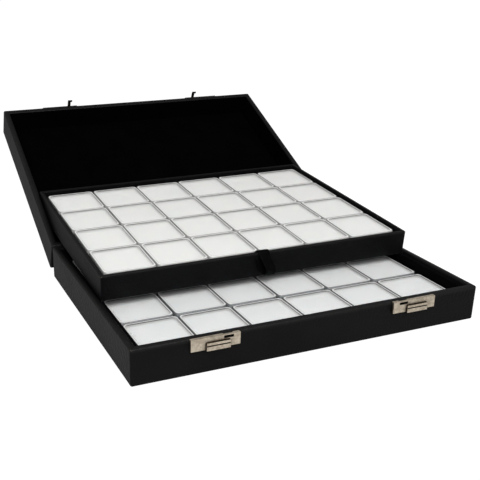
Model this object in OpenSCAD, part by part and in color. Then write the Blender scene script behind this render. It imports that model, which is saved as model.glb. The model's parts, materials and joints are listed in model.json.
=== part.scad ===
// Two-level display case for mineral specimens: a covered base, a hinged lid that
// leans back on its hinges, and a lift-out tray slid back over the base. Both levels
// hold clear square jars with white foam. Millimetres, +Z up, front towards -Y.
// The origin is the centre of the underside.

/* [Jars] */
// Outer width of a jar's lid
jar_w = 39.2; // [30:0.2:50]
// Height of a closed jar
jar_h = 15; // [12:0.5:16]
// Corner radius of a jar's lid
jar_r = 3; // [2:0.5:5]
// Wall of the clear cup
cup_wall = 0.7; // [0.6:0.1:1.2]
// Floor of the clear cup
cup_floor = 0.9; // [0.6:0.1:1.5]
// Wall of the clear lid's skirt
jar_lid_wall = 0.7; // [0.6:0.1:1.2]
// Top of the clear lid
jar_lid_top = 0.9; // [0.6:0.1:1.5]
// Depth of the lid's skirt
jar_skirt = 5; // [3:0.5:8]
// Clearance between a lid's skirt and its cup
jar_fit = 0.1; // [0.05:0.05:0.3]
// Air between the foam and the lid over it
foam_air = 0.4; // [0.3:0.1:3]
// Jars from left to right
cols = 6; // [4:1:7]
// Jars from front to back
rows = 4; // [3:1:5]
// Gap between neighbouring jars
jar_gap = 0.8; // [0.6:0.1:2]
// Gap between the rows of the lower level
lower_row_gap = 2.3; // [1:0.1:2.6]
// Slack between the liner and the lower level's front row
lower_slack = 2; // [1:0.1:3]
// Largest sideways shift of a loosely placed jar
jar_shift = 0.18; // [0:0.01:0.2]
// Largest turn of a loosely placed jar, in degrees
jar_turn = 0.2; // [0:0.05:0.25]

/* [Tray] */
// Slack between the jars and the tray's side walls
tray_slack_x = 1.5; // [1:0.1:4]
// Slack between the jars and the tray's front and back walls
tray_slack_y = 4.6; // [3:0.1:8]
// Board of the tray's walls
tray_board = 2.2; // [1.8:0.1:3]
// Board of the tray's bottom
tray_bottom_board_t = 1.4; // [1:0.1:2]
// Height of the tray
tray_h = 19.2; // [18:0.1:21]
// How far the tray is slid back, from the case's front face
tray_back = 76.2; // [72:0.1:80]
// Sideways place of the tray
tray_x = -0.4; // [-0.4:0.1:0.4]
// Velvet on the tray's floor
tray_velvet = 0.4; // [0.3:0.1:0.8]
// Covering of the tray's outside
tray_skin = 0.4; // [0.4:0.1:0.6]
// Edge radius of the covered tray
tray_edge_r = 1; // [0.5:0.1:1]

/* [Case] */
// Height of the base
base_h = 26.2; // [24:0.1:30]
// Height of the lid
lid_h = 25.6; // [24:0.1:30]
// Board of the walls
wall_board = 4; // [3.6:0.1:5]
// Board of the base's bottom
bottom_board = 2.1; // [2:0.1:3]
// Board of the lid's top
top_board = 2.4; // [2:0.1:3]
// Leatherette on the outside
skin = 0.6; // [0.6:0.1:0.8]
// Leatherette turned in over the inside of the walls
inner_skin = 0.5; // [0.4:0.1:0.8]
// Edge radius of the covered case
edge_r = 1.5; // [0.8:0.1:1.5]
// Sheet under the base
under_sheet = 0.3; // [0.2:0.1:0.6]
// Distance of that sheet's edge from the base's outline
under_margin = 5; // [3:1:9]
// Width of the leatherette turned in under the base
turn_in = 14; // [10:1:20]
// Clearance between the nested tray and the side walls
nest_x = 0.9; // [0.6:0.1:1.5]
// Clearance between the nested tray and the front and back walls
nest_y = 1.7; // [0.6:0.1:2.5]
// Seam between the closed lid and the base
seam = 0.4; // [0.3:0.1:0.6]
// Open angle of the lid
lid_open = 155.4; // [150:0.1:158]

/* [Lining] */
// Velvet on the base's floor
floor_velvet = 0.5; // [0.4:0.1:1]
// Liner boards, covered with velvet, that carry the tray
liner_t = 3; // [2.6:0.1:3.6]
// How far the liners' top edge lies below the base's rim
ledge_drop = 1.9; // [1.5:0.1:4]
// Velvet over the lid's pad
pad_velvet_t = 0.6; // [0.4:0.1:1]
// Clearance between the pad and the nested tray under the closed lid
pad_clear = 0.2; // [0.1:0.1:1]
// Clearance round the pad
pad_gap = 0.3; // [0.2:0.1:1]
// Velvet on the inside of the lid's walls
lid_lining_t = 0.4; // [0.3:0.1:0.5]
// Gap left where a loose or soft part rests
rest_gap = 0.25; // [0.1:0.05:0.3]

/* [Catches] */
// Distance of each catch from the case's middle
catch_x = 74.9; // [60:0.1:90]
// Width of a catch's housing
catch_w = 34; // [30:0.5:40]
// Height of a catch's housing
catch_h = 8.2; // [7.6:0.1:10]
// Depth of a catch's housing in front of the wall
catch_d = 2.4; // [2.2:0.1:3]
// Sheet metal of the catches
sheet = 0.6; // [0.5:0.1:0.7]
// Place of the hook's slot, from the housing's middle towards the case's middle
slot_x = 8.9; // [8:0.1:11]
// Width of the hook's slot
slot_w = 6.8; // [6:0.1:8]
// Height of the slot in the housing's face
slot_h = 1.9; // [1:0.1:2]
// Thumb piece's width
thumb_w = 16.4; // [12:0.1:18]
// Thumb piece's height
thumb_h = 5.2; // [4.6:0.1:5.6]
// How far the thumb piece stands out of the housing
thumb_d = 1.3; // [1:0.1:2]
// Travel of the slider, to the right on both catches
catch_travel = 2.6; // [2:0.1:2.6]
// Clearance round the slider
slide_fit = 0.1; // [0.05:0.01:0.2]
// Height of the hook plate on the lid
hook_plate_h = 6; // [5:0.1:8]
// How far a hook reaches past the rim
hook_reach = 6; // [5:0.1:6.4]
// Width of a hook's shank
hook_w = 2.8; // [1.2:0.1:3.2]
// Sideways reach of a hook's head
hook_head = 1.4; // [1:0.1:2]
// Radius of the prongs that hold a catch to its board
prong_r = 0.6; // [0.4:0.1:0.8]
// Length of the prongs inside the wall
prong_l = 3.4; // [3:0.1:3.6]

/* [Hinges] */
// Distance of each hinge from the case's middle
hinge_x = 85; // [60:1:100]
// Length of a hinge
hinge_l = 30; // [24:1:40]
// Leaf thickness
leaf_t = 0.8; // [0.6:0.1:1]
// Outer radius of the knuckles
knuckle_r = 1.5; // [1.3:0.1:1.8]
// Radius of the hinge pin
pin_r = 0.7; // [0.6:0.05:0.9]
// Clearance of the pin in the knuckles
pin_fit = 0.05; // [0.03:0.01:0.08]
// Clearance round the knuckles
knuckle_clear = 0.3; // [0.2:0.05:0.5]
// Distance of the pin's axis behind the case's back face
hinge_out = 0.3; // [0.2:0.05:0.5]
// Radius of a hinge nail's shank
nail_r = 0.5; // [0.4:0.1:0.6]
// Length of a hinge nail
nail_l = 6; // [4:0.5:8]

/* [Ribbon] */
// Place of the ribbon pull, from the tray's middle
ribbon_x = -1.5; // [-20:0.5:20]
// Width of the ribbon
ribbon_w = 10; // [6:0.5:14]
// Thickness of the ribbon
ribbon_t = 0.7; // [0.5:0.1:1]
// Length of the loop that hangs in front
ribbon_drop = 17.5; // [12:0.5:18]
// Depth of the hanging loop
ribbon_loop = 3.4; // [2.6:0.1:4]
// Length of the end glued inside the tray
ribbon_tab = 9; // [6:0.5:12]
// Angle that the loop hangs to the right of straight down, in degrees
ribbon_lean = 14; // [0:1:20]

/* [Hidden] */
$fn = 48;
hair = 0.01;
far = 400;
corner_steps = 3;

pitch = jar_w + jar_gap;
lower_pitch_y = jar_w + lower_row_gap;

tray_wall = tray_skin + tray_board + inner_skin;
tray_inner_w = cols * pitch + 2 * tray_slack_x;
tray_inner_d = rows * pitch + 2 * tray_slack_y;
tray_w = tray_inner_w + 2 * tray_wall;
tray_d = tray_inner_d + 2 * tray_wall;
tray_board_top = tray_skin + tray_bottom_board_t;
tray_wall_top = tray_h - tray_skin;
tray_floor = tray_board_top + tray_velvet;

wall = skin + wall_board + inner_skin;
inner_w = tray_w + 2 * nest_x;
inner_d = tray_d + 2 * nest_y;
case_w = inner_w + 2 * wall;
case_d = inner_d + 2 * wall;
front = -case_d / 2;
back = case_d / 2;

bottom_top = under_sheet + skin + bottom_board;
floor_z = bottom_top + floor_velvet;
ledge_z = base_h - ledge_drop;
lower_front = front + wall + liner_t + lower_slack;

pad_depth = tray_h - ledge_drop - seam + pad_clear;
lid_inside = lid_h - skin - top_board;
pad_t = lid_inside - pad_depth;

// The hinge axis runs along X here
axis_y = back + hinge_out;
axis_z = base_h + seam / 2;

// The tray's front edge stands on the side liners and its back edge on the lid's pad
tray_front_y = front + tray_back;
tray_front_z = ledge_z + rest_gap;
lean = 180 - lid_open;
rest_depth = seam / 2 + pad_depth - rest_gap
    + (axis_y - tray_front_y) * sin(lean) + (tray_front_z - axis_z) * cos(lean);
tray_tilt = lean - asin(rest_depth / tray_d);

lined_w = inner_w - 2 * lid_lining_t;
lined_d = inner_d - 2 * lid_lining_t;

// Hinges
knuckles = 5;
knuckle_l = hinge_l / knuckles;
leaf_inset = 0.3;
leaf_in = back - wall + leaf_inset;
leaf_out = axis_y - knuckle_r - knuckle_clear;
nail_places = [hinge_l * 0.2, hinge_l * 0.8];
nail_y = (leaf_in + leaf_out) / 2;

// Catches
prong_x = catch_w / 2 - 1.7;
prong_tab = 0.8;
base_prong_z = base_h - catch_h / 2 - skin;
lid_prong_z = hook_plate_h / 2 + skin;
thumb_low = base_h - catch_h - 0.5;
thumb_y = catch_d + slide_fit;
groove_z = thumb_low + thumb_h * 0.62;
groove = 0.45;
groove_deep = 0.7;
window_z = base_h - catch_h + sheet + 1.8;
window_h = 1.6;
stem_w = 7;
bar_y = catch_d - sheet - slide_fit;
bar_low = window_z - 0.4;
hook_y = 0.15;
way_in = hook_y + sheet + 0.2;
head_h = 1.9;
lip_z = base_h + seam - hook_reach + head_h + slide_fit;
lip_h = 1;
lip_gap = 0.15;

// Thumb piece's place, from the housing's middle towards the case's middle
thumb_left = 1.5;
thumb_right = -1.9;

ribbon_gap = 0.1;

// Jar pieces
cup_w = jar_w - 2 * (jar_lid_wall + jar_fit);
cup_h = jar_h - jar_lid_top;
cup_r = jar_r - jar_lid_wall - jar_fit;
foam_w = cup_w - 2 * cup_wall;
foam_r = cup_r - cup_wall;

// The jar of each level that is lifted out, as column and row
upper_pick = [3, 0];
lower_pick = [1, 0];

// Box centred in X and Y, from height z0 to z1
module block(w, d, z0, z1) {
    translate([-w / 2, -d / 2, z0]) cube([w, d, z1 - z0]);
}

// Box between two corners
module span(a, b) {
    translate(a) cube(b - a);
}

// Outline of a w by d rectangle with round corners of a few flats each
function round_outline(w, d, r) = [
    for (q = [0 : 3], k = [0 : corner_steps])
        let (a = 90 * q + 90 * k / corner_steps, sx = q == 0 || q == 3 ? 1 : -1, sy = q < 2 ? 1 : -1)
            [sx * (w / 2 - r), sy * (d / 2 - r)] + r * [cos(a), sin(a)]
];

// Box with all its edges rounded, centred in X and Y, standing on z = 0
module soft_block(w, d, h, r) {
    intersection() {
        linear_extrude(h) polygon(round_outline(w, d, r));
        translate([0, d, h / 2]) rotate([90, 0, 0])
            linear_extrude(2 * d) polygon(round_outline(w, h, r));
        translate([-w, 0, h / 2]) rotate([90, 0, 90])
            linear_extrude(2 * w) polygon(round_outline(d, h, r));
    }
}

// Square plate with round corners, centred in X and Y
module round_plate(w, r, h) {
    linear_extrude(h) polygon(round_outline(w, w, r));
}

// Places
module at_lid() {
    translate([0, axis_y, axis_z]) rotate([-lid_open, 0, 0])
        translate([0, -axis_y, base_h + seam - axis_z]) children();
}

module at_tray() {
    translate([tray_x, tray_front_y, tray_front_z]) rotate([tray_tilt, 0, 0])
        translate([0, tray_d / 2, 0]) children();
}

// A housing's own frame: x towards the case's middle, y out of the wall, z up
module at_catch(side) {
    translate([side * catch_x, front, 0]) mirror([0, 1, 0]) mirror([max(side, 0), 0, 0])
        children();
}

module at_hook(side) {
    at_lid() at_catch(side) children();
}

// Covered shells
module wrap_shell(w, d, h, t, board, inner, bottom, r, open_w, open_d) {
    difference() {
        soft_block(w, d, h, r);
        difference() {
            block(w - 2 * t, d - 2 * t, t, h - t);
            block(w - 2 * (t + board), d - 2 * (t + board), t + bottom, h);
        }
        block(w - 2 * (t + board + inner), d - 2 * (t + board + inner), t + bottom, h + 1);
        if (open_w > 0) block(open_w, open_d, -1, t + hair);
    }
}

// Rooms that the hinges take in a wall that ends at height z, on one side of the seam
module hinge_rooms(z) {
    for (x = [-hinge_x, hinge_x]) {
        translate([x - hinge_l / 2 - knuckle_clear, axis_y, axis_z - base_h + z])
            rotate([0, 90, 0])
                cylinder(r = knuckle_r + knuckle_clear, h = hinge_l + 2 * knuckle_clear);
    }
}

// Hinge leaf on a rim at height 0 below the seam; odd says which knuckles it carries

module leaf(side, odd) {
    translate([side * hinge_x - hinge_l / 2, 0, 0]) difference() {
        union() {
            span([0, leaf_in, -leaf_t], [hinge_l, leaf_out, 0]);
            for (k = [odd : 2 : knuckles - 1]) {
                x0 = k * knuckle_l + (k > 0 ? pin_fit : 0);
                x1 = (k + 1) * knuckle_l - (k < knuckles - 1 ? pin_fit : 0);
                span([x0, leaf_out - hair, -leaf_t], [x1, axis_y, 0]);
                translate([x0, axis_y, seam / 2]) rotate([0, 90, 0])
                    cylinder(r = knuckle_r, h = x1 - x0);
            }
        }
        translate([-1, axis_y, seam / 2]) rotate([0, 90, 0])
            cylinder(r = pin_r + pin_fit, h = hinge_l + 2);
        for (x = nail_places) translate([x, nail_y, -leaf_t - 1])
            cylinder(r = nail_r, h = leaf_t + 2);
    }
}

module leaf_room() {
    for (side = [-1, 1])
        span([side * hinge_x - hinge_l / 2, leaf_in, -leaf_t],
            [side * hinge_x + hinge_l / 2, leaf_out + 2 * knuckle_r, 1]);
}

module nails() {
    for (side = [-1, 1], x = nail_places)
        translate([side * hinge_x - hinge_l / 2 + x, nail_y, -nail_l])
            cylinder(r = nail_r, h = nail_l);
}

// What the rim at height h loses to the hinges, seen from below the seam
module rim_cuts(h) {
    translate([0, 0, h]) {
        leaf_room();
        nails();
    }
    hinge_rooms(h);
}

// The same for the lid, whose rim faces down at height 0
module lid_rim_cuts() {
    mirror([0, 0, 1]) rim_cuts(0);
}

// Prongs of the catches, along +Y from the front face
module prongs(z) {
    for (x = [-prong_x, prong_x]) translate([x, hair, z]) rotate([90, 0, 0])
        cylinder(r = prong_r, h = prong_l + hair);
}

module base_prong_holes() {
    for (side = [-1, 1]) at_catch(side) prongs(base_prong_z);
}

module lid_prong_holes() {
    for (side = [-1, 1]) at_catch(side) prongs(lid_prong_z);
}

// Base
module base_bottom_board() color("#8a7a63")
    block(case_w - 2 * skin, case_d - 2 * skin, under_sheet + skin, bottom_top);

module wall_front(z0, z1) span(
    [skin - case_w / 2, front + skin, z0],
    [case_w / 2 - skin, front + skin + wall_board, z1]);

module wall_back(z0, z1) span(
    [skin - case_w / 2, back - skin - wall_board, z0],
    [case_w / 2 - skin, back - skin, z1]);

module wall_side(side, z0, z1) translate([side * (case_w / 2 - skin - wall_board / 2), 0, 0])
    block(wall_board, case_d - 2 * (skin + wall_board), z0, z1);

module base_front_board() color("#8a7a63") difference() {
    wall_front(bottom_top, base_h - skin);
    base_prong_holes();
}

module base_back_board() color("#8a7a63") difference() {
    wall_back(bottom_top, base_h - skin);
    rim_cuts(base_h);
}

module base_left_board() color("#8a7a63") wall_side(-1, bottom_top, base_h - skin);
module base_right_board() color("#8a7a63") wall_side(1, bottom_top, base_h - skin);

module base_wrap() color("#1b1a1c") difference() {
    translate([0, 0, under_sheet])
        wrap_shell(case_w, case_d, base_h - under_sheet, skin, wall_board, inner_skin,
            bottom_board, edge_r, case_w - 2 * turn_in, case_d - 2 * turn_in);
    rim_cuts(base_h);
    base_prong_holes();
}

module base_underside_sheet() color("#201f21") {
    block(case_w - 2 * under_margin, case_d - 2 * under_margin, 0, under_sheet);
    // Its middle lies on the board inside the turned-in edge
    block(case_w - 2 * turn_in, case_d - 2 * turn_in, under_sheet / 2, under_sheet + skin);
}

module base_floor_velvet() color("#0a0a0b") block(inner_w, inner_d, bottom_top, floor_z);

module base_front_liner() color("#0a0a0b") span(
    [-inner_w / 2, front + wall, floor_z], [inner_w / 2, front + wall + liner_t, ledge_z]);

module base_back_liner() color("#0a0a0b") span(
    [-inner_w / 2, back - wall - liner_t, floor_z], [inner_w / 2, back - wall, ledge_z]);

module liner_side(side) translate([side * (inner_w - liner_t) / 2, 0, 0])
    block(liner_t, inner_d - 2 * liner_t, floor_z, ledge_z);

module base_left_liner() color("#0a0a0b") liner_side(-1);
module base_right_liner() color("#0a0a0b") liner_side(1);

// Lid, with its rim at height 0 and its top at lid_h
module lid_top_board() color("#8a7a63") at_lid()
    block(case_w - 2 * skin, case_d - 2 * skin, lid_inside, lid_h - skin);

module lid_front_board() color("#8a7a63") at_lid() difference() {
    wall_front(skin, lid_inside);
    lid_prong_holes();
}

module lid_back_board() color("#8a7a63") at_lid() difference() {
    wall_back(skin, lid_inside);
    lid_rim_cuts();
}

module lid_left_board() color("#8a7a63") at_lid() wall_side(-1, skin, lid_inside);
module lid_right_board() color("#8a7a63") at_lid() wall_side(1, skin, lid_inside);

module lid_wrap() color("#1b1a1c") at_lid() difference() {
    translate([0, 0, lid_h]) mirror([0, 0, 1])
        wrap_shell(case_w, case_d, lid_h, skin, wall_board, inner_skin, top_board, edge_r, 0, 0);
    lid_rim_cuts();
    lid_prong_holes();
}

module lid_wall_lining() color("#050505") at_lid() difference() {
    block(inner_w, inner_d, skin, lid_inside);
    block(lined_w, lined_d, 0, lid_h);
}

module lid_pad_foam() color("#3a3a3a") at_lid()
    block(lined_w - 2 * pad_gap, lined_d - 2 * pad_gap, pad_depth + pad_velvet_t, lid_inside);

module lid_pad_velvet() color("#050505") at_lid()
    block(lined_w - 2 * pad_gap, lined_d - 2 * pad_gap, pad_depth, pad_depth + pad_velvet_t);

// Hinges
module base_leaf(side) color("#b9b1a0") translate([0, 0, base_h]) leaf(side, 0);

module lid_leaf(side) color("#b9b1a0") at_lid() mirror([0, 0, 1]) leaf(side, 1);

module hinge_pin(side) color("#a79f8e")
    translate([side * hinge_x - hinge_l / 2, axis_y, axis_z]) rotate([0, 90, 0])
        cylinder(r = pin_r, h = hinge_l);

module left_hinge_base_leaf() base_leaf(-1);
module right_hinge_base_leaf() base_leaf(1);
module left_hinge_lid_leaf() lid_leaf(-1);
module right_hinge_lid_leaf() lid_leaf(1);
module left_hinge_pin() hinge_pin(-1);
module right_hinge_pin() hinge_pin(1);
module hinge_base_nails() color("#c9c2b4") translate([0, 0, base_h]) nails();
module hinge_lid_nails() color("#c9c2b4") at_lid() mirror([0, 0, 1]) nails();

// Catches. The housing is a shallow box of folded sheet with an open back

module housing(side, thumb) color("#c8bfae") at_catch(side) {
    difference() {
        span([-catch_w / 2, 0, base_h - catch_h], [catch_w / 2, catch_d, base_h]);
        span([sheet - catch_w / 2, -1, base_h - catch_h + sheet],
            [catch_w / 2 - sheet, catch_d - sheet, base_h - sheet]);
        // Way in for the hook, through the top
        span([slot_x - slot_w / 2, -1, base_h - sheet - 1],
            [slot_x + slot_w / 2, way_in, base_h + 1]);
        // Slot in the face
        span([slot_x - slot_w / 2, 0, base_h - sheet - slot_h],
            [slot_x + slot_w / 2, far, base_h - sheet]);
        // Window that the slider's stem runs in
        for (move = [0, -side * catch_travel])
            span([thumb + move - stem_w / 2 - slide_fit, 0, window_z - slide_fit],
                [thumb + move + stem_w / 2 + slide_fit, far, window_z + window_h + slide_fit]);
    }
    for (x = [-prong_x, prong_x])
        span([x - prong_tab, 0, base_h - catch_h + sheet / 2],
            [x + prong_tab, catch_d - sheet / 2, base_h - sheet / 2]);
    prongs(base_prong_z);
}

module slider(side, thumb) color("#d2cabb") at_catch(side) {
    // Thumb piece with its grooved face
    difference() {
        span([thumb - thumb_w / 2, thumb_y, thumb_low],
            [thumb + thumb_w / 2, thumb_y + thumb_d, thumb_low + thumb_h]);
        span([thumb - thumb_w, thumb_y + thumb_d - groove_deep, groove_z - groove],
            [thumb + thumb_w, far, groove_z + groove]);
    }
    // Stem through the window
    span([thumb - stem_w / 2, bar_y - sheet / 2, window_z],
        [thumb + stem_w / 2, thumb_y + thumb_d / 2, window_z + window_h]);
    // Bar behind the housing's face, and its lip over the hook's head
    shank = slot_x - side * (hook_w / 2 + lip_gap);
    tip = slot_x - side * (hook_w / 2 + hook_head);
    span([thumb - stem_w / 2 - 1, bar_y - sheet, bar_low], [max(shank, tip), bar_y, lip_z + lip_h]);
    span([min(shank, tip), hook_y, lip_z], [max(shank, tip), bar_y - sheet / 2, lip_z + lip_h]);
}

module hook(side) color("#c8bfae") at_hook(side) {
    span([-catch_w / 2, 0, skin], [catch_w / 2, sheet + hook_y, hook_plate_h]);
    prongs(lid_prong_z);
    // Shank past the rim, and its head, which points to the right
    root = slot_x - side * hook_w / 2;
    tip = root - side * hook_head;
    span([slot_x - hook_w / 2, hook_y, -hook_reach], [slot_x + hook_w / 2, hook_y + sheet, 2 * skin]);
    span([min(root, tip), hook_y, -hook_reach], [max(root, tip), hook_y + sheet, head_h - hook_reach]);
}

module left_catch_housing() housing(-1, thumb_left);
module right_catch_housing() housing(1, thumb_right);
module left_catch_slider() slider(-1, thumb_left);
module right_catch_slider() slider(1, thumb_right);
module left_hook_plate() hook(-1);
module right_hook_plate() hook(1);

// Tray, centred in X and Y, standing on z = 0
module tray_bottom_board() color("#8a7a63") at_tray()
    block(tray_w - 2 * tray_skin, tray_d - 2 * tray_skin, tray_skin, tray_board_top);

module tray_wall_y(side) at_tray()
    translate([0, side * (tray_d / 2 - tray_skin - tray_board / 2), 0])
        block(tray_w - 2 * tray_skin, tray_board, tray_board_top, tray_wall_top);

module tray_wall_x(side) at_tray()
    translate([side * (tray_w / 2 - tray_skin - tray_board / 2), 0, 0])
        block(tray_board, tray_d - 2 * (tray_skin + tray_board), tray_board_top, tray_wall_top);

module tray_front_board() color("#8a7a63") tray_wall_y(-1);
module tray_back_board() color("#8a7a63") tray_wall_y(1);
module tray_left_board() color("#8a7a63") tray_wall_x(-1);
module tray_right_board() color("#8a7a63") tray_wall_x(1);

module tray_wrap() color("#1d1c1e") at_tray()
    wrap_shell(tray_w, tray_d, tray_h, tray_skin, tray_board, inner_skin, tray_bottom_board_t,
        tray_edge_r, 0, 0);

module tray_floor_velvet() color("#0a0a0b") at_tray()
    block(tray_inner_w, tray_inner_d, tray_board_top, tray_floor);

// Ribbon drawn out along X from its section in Y and Z: over the rim, and the loop in front
module ribbon_pull() color("#0c0c0d")
    at_tray() translate([ribbon_x, -tray_d / 2, tray_h]) {
        ribbon_band() ribbon_strap();
        rotate([0, -ribbon_lean, 0]) ribbon_band() ribbon_loop_section();
    }

module ribbon_band() rotate([90, 0, 90])
    translate([0, 0, -ribbon_w / 2]) linear_extrude(ribbon_w) children();

module ribbon_strap() {
    reach = tray_wall + ribbon_gap + ribbon_t;
    translate([-ribbon_gap - ribbon_t, ribbon_gap]) square([ribbon_t + ribbon_gap + reach, ribbon_t]);
    translate([reach - ribbon_t, ribbon_gap + ribbon_t - ribbon_tab]) square([ribbon_t, ribbon_tab]);
}

module ribbon_loop_section()
    translate([-ribbon_gap - ribbon_loop / 2, ribbon_gap + ribbon_t - ribbon_drop]) difference() {
        ribbon_stadium(ribbon_loop / 2);
        ribbon_stadium(ribbon_loop / 2 - ribbon_t);
    }

// Long upright ring outline whose round ends have radius r
module ribbon_stadium(r) {
    low = ribbon_loop / 2;
    high = ribbon_drop - ribbon_loop / 2;
    translate([0, low]) circle(r);
    translate([0, high]) circle(r);
    translate([-r, low]) square([2 * r, high - low]);
}

// Jars

module cup() difference() {
    round_plate(cup_w, cup_r, cup_h);
    translate([0, 0, cup_floor]) round_plate(foam_w, foam_r, cup_h);
}

module foam() translate([0, 0, cup_floor]) round_plate(foam_w, foam_r, cup_h - cup_floor - foam_air);

module jar_lid() translate([0, 0, jar_h - jar_lid_top - jar_skirt]) difference() {
    round_plate(jar_w, jar_r, jar_skirt + jar_lid_top);
    translate([0, 0, -1]) round_plate(cup_w + 2 * jar_fit, cup_r + jar_fit, jar_skirt + 1);
}

// A loosely placed jar: its own small shift and turn
module loose(i, j, level) {
    r = rands(-1, 1, 3, 100 * level + 10 * j + i + 7);
    translate([r[0] * jar_shift, r[1] * jar_shift, 0]) rotate([0, 0, r[2] * jar_turn]) children();
}

module at_upper(i, j) at_tray()
    translate([(i - (cols - 1) / 2) * pitch, (j - (rows - 1) / 2) * pitch, tray_floor])
        loose(i, j, 1) children();

module at_lower(i, j)
    translate([(i - (cols - 1) / 2) * pitch, lower_front + jar_w / 2 + j * lower_pitch_y, floor_z])
        loose(i, j, 2) children();

module each_upper() for (i = [0 : cols - 1], j = [0 : rows - 1])
    if ([i, j] != upper_pick) at_upper(i, j) children();

module each_lower() for (i = [0 : cols - 1], j = [0 : rows - 1])
    if ([i, j] != lower_pick) at_lower(i, j) children();

module clear_plastic() color("#dfe4e6", 0.4) children();
module white_foam() color("#f2f2f0") children();

module upper_jar_cups() clear_plastic() each_upper() cup();
module upper_jar_foams() white_foam() each_upper() foam();
module upper_jar_lids() clear_plastic() each_upper() jar_lid();
module lower_jar_cups() clear_plastic() each_lower() cup();
module lower_jar_foams() white_foam() each_lower() foam();
module lower_jar_lids() clear_plastic() each_lower() jar_lid();
module upper_sample_cup() clear_plastic() at_upper(upper_pick[0], upper_pick[1]) cup();
module upper_sample_foam() white_foam() at_upper(upper_pick[0], upper_pick[1]) foam();
module upper_sample_lid() clear_plastic() at_upper(upper_pick[0], upper_pick[1]) jar_lid();
module lower_sample_cup() clear_plastic() at_lower(lower_pick[0], lower_pick[1]) cup();
module lower_sample_foam() white_foam() at_lower(lower_pick[0], lower_pick[1]) foam();
module lower_sample_lid() clear_plastic() at_lower(lower_pick[0], lower_pick[1]) jar_lid();

base_bottom_board();
base_front_board();
base_back_board();
base_left_board();
base_right_board();
base_wrap();
base_underside_sheet();
base_floor_velvet();
base_front_liner();
base_back_liner();
base_left_liner();
base_right_liner();
lid_top_board();
lid_front_board();
lid_back_board();
lid_left_board();
lid_right_board();
lid_wrap();
lid_pad_foam();
lid_pad_velvet();
lid_wall_lining();
left_hinge_base_leaf();
right_hinge_base_leaf();
left_hinge_lid_leaf();
right_hinge_lid_leaf();
left_hinge_pin();
right_hinge_pin();
hinge_base_nails();
hinge_lid_nails();
left_catch_housing();
right_catch_housing();
left_catch_slider();
right_catch_slider();
left_hook_plate();
right_hook_plate();
tray_bottom_board();
tray_front_board();
tray_back_board();
tray_left_board();
tray_right_board();
tray_wrap();
tray_floor_velvet();
ribbon_pull();
upper_jar_cups();
upper_jar_foams();
upper_jar_lids();
lower_jar_cups();
lower_jar_foams();
lower_jar_lids();
upper_sample_cup();
upper_sample_foam();
upper_sample_lid();
lower_sample_cup();
lower_sample_foam();
lower_sample_lid();
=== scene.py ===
import json
import math

import bpy
import numpy as np
from mathutils import Matrix, Vector


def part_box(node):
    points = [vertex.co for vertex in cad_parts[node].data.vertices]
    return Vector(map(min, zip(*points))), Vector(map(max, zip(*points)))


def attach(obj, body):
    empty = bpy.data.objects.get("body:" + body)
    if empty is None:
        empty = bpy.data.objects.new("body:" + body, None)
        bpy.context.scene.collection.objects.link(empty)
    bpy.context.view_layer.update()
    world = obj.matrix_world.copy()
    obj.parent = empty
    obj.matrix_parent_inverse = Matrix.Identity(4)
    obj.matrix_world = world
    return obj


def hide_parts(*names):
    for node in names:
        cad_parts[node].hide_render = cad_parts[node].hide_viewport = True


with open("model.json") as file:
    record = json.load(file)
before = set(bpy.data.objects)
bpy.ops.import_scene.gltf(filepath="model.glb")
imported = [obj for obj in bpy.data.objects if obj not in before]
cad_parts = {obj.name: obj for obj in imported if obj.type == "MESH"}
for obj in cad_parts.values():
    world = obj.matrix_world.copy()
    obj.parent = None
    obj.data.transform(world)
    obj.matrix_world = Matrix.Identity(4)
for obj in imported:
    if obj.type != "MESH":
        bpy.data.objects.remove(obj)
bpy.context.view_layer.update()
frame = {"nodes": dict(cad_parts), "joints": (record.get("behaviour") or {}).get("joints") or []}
NODES = frame["nodes"]
JOINTS = {joint["name"]: joint for joint in frame["joints"]}
MM = 0.001
WHITE = (1, 1, 1, 1)


# Colours and nodes

def colour(code):
    """Linear RGBA of an sRGB hex colour."""
    parts = [int(code[i:i + 2], 16) / 255 for i in (1, 3, 5)]
    return [*(c / 12.92 if c <= 0.04045 else ((c + 0.055) / 1.055) ** 2.4 for c in parts), 1.0]


def lumps(size_mm):
    """Scale of a texture whose lumps are about size_mm across."""
    return 1 / (size_mm * MM)


def feed(tree, node, inputs):
    """Gives each named input a value, or a link from another node's output."""
    for key, value in inputs.items():
        if isinstance(value, bpy.types.NodeSocket):
            tree.links.new(value, node.inputs[key])
        else:
            node.inputs[key].default_value = value


def add(tree, kind, inputs=None, out=0, stops=(), **settings):
    """A shader node with its settings and links, as the one of its outputs that out names or counts.
    A colour ramp has stops: pairs of a place and a hex colour, or of a place and a linear one."""
    node = tree.nodes.new(kind)
    for key, value in settings.items():
        setattr(node, key, value)
    feed(tree, node, inputs or {})
    for _ in stops[2:]:
        node.color_ramp.elements.new(0.5)
    for k, (place, tone) in enumerate(stops):
        node.color_ramp.elements[k].position = place
        node.color_ramp.elements[k].color = colour(tone) if isinstance(tone, str) else tone
    return node.outputs[out]


def material(name, **sockets):
    """A node material with one Principled shader: (material, its tree, the shader)."""
    made = bpy.data.materials.new(name)
    made.use_nodes = True
    tree = made.node_tree
    shader = tree.nodes["Principled BSDF"]
    feed(tree, shader, {key.replace("_", " "): value for key, value in sockets.items()})
    return made, tree, shader


# Materials

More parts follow.
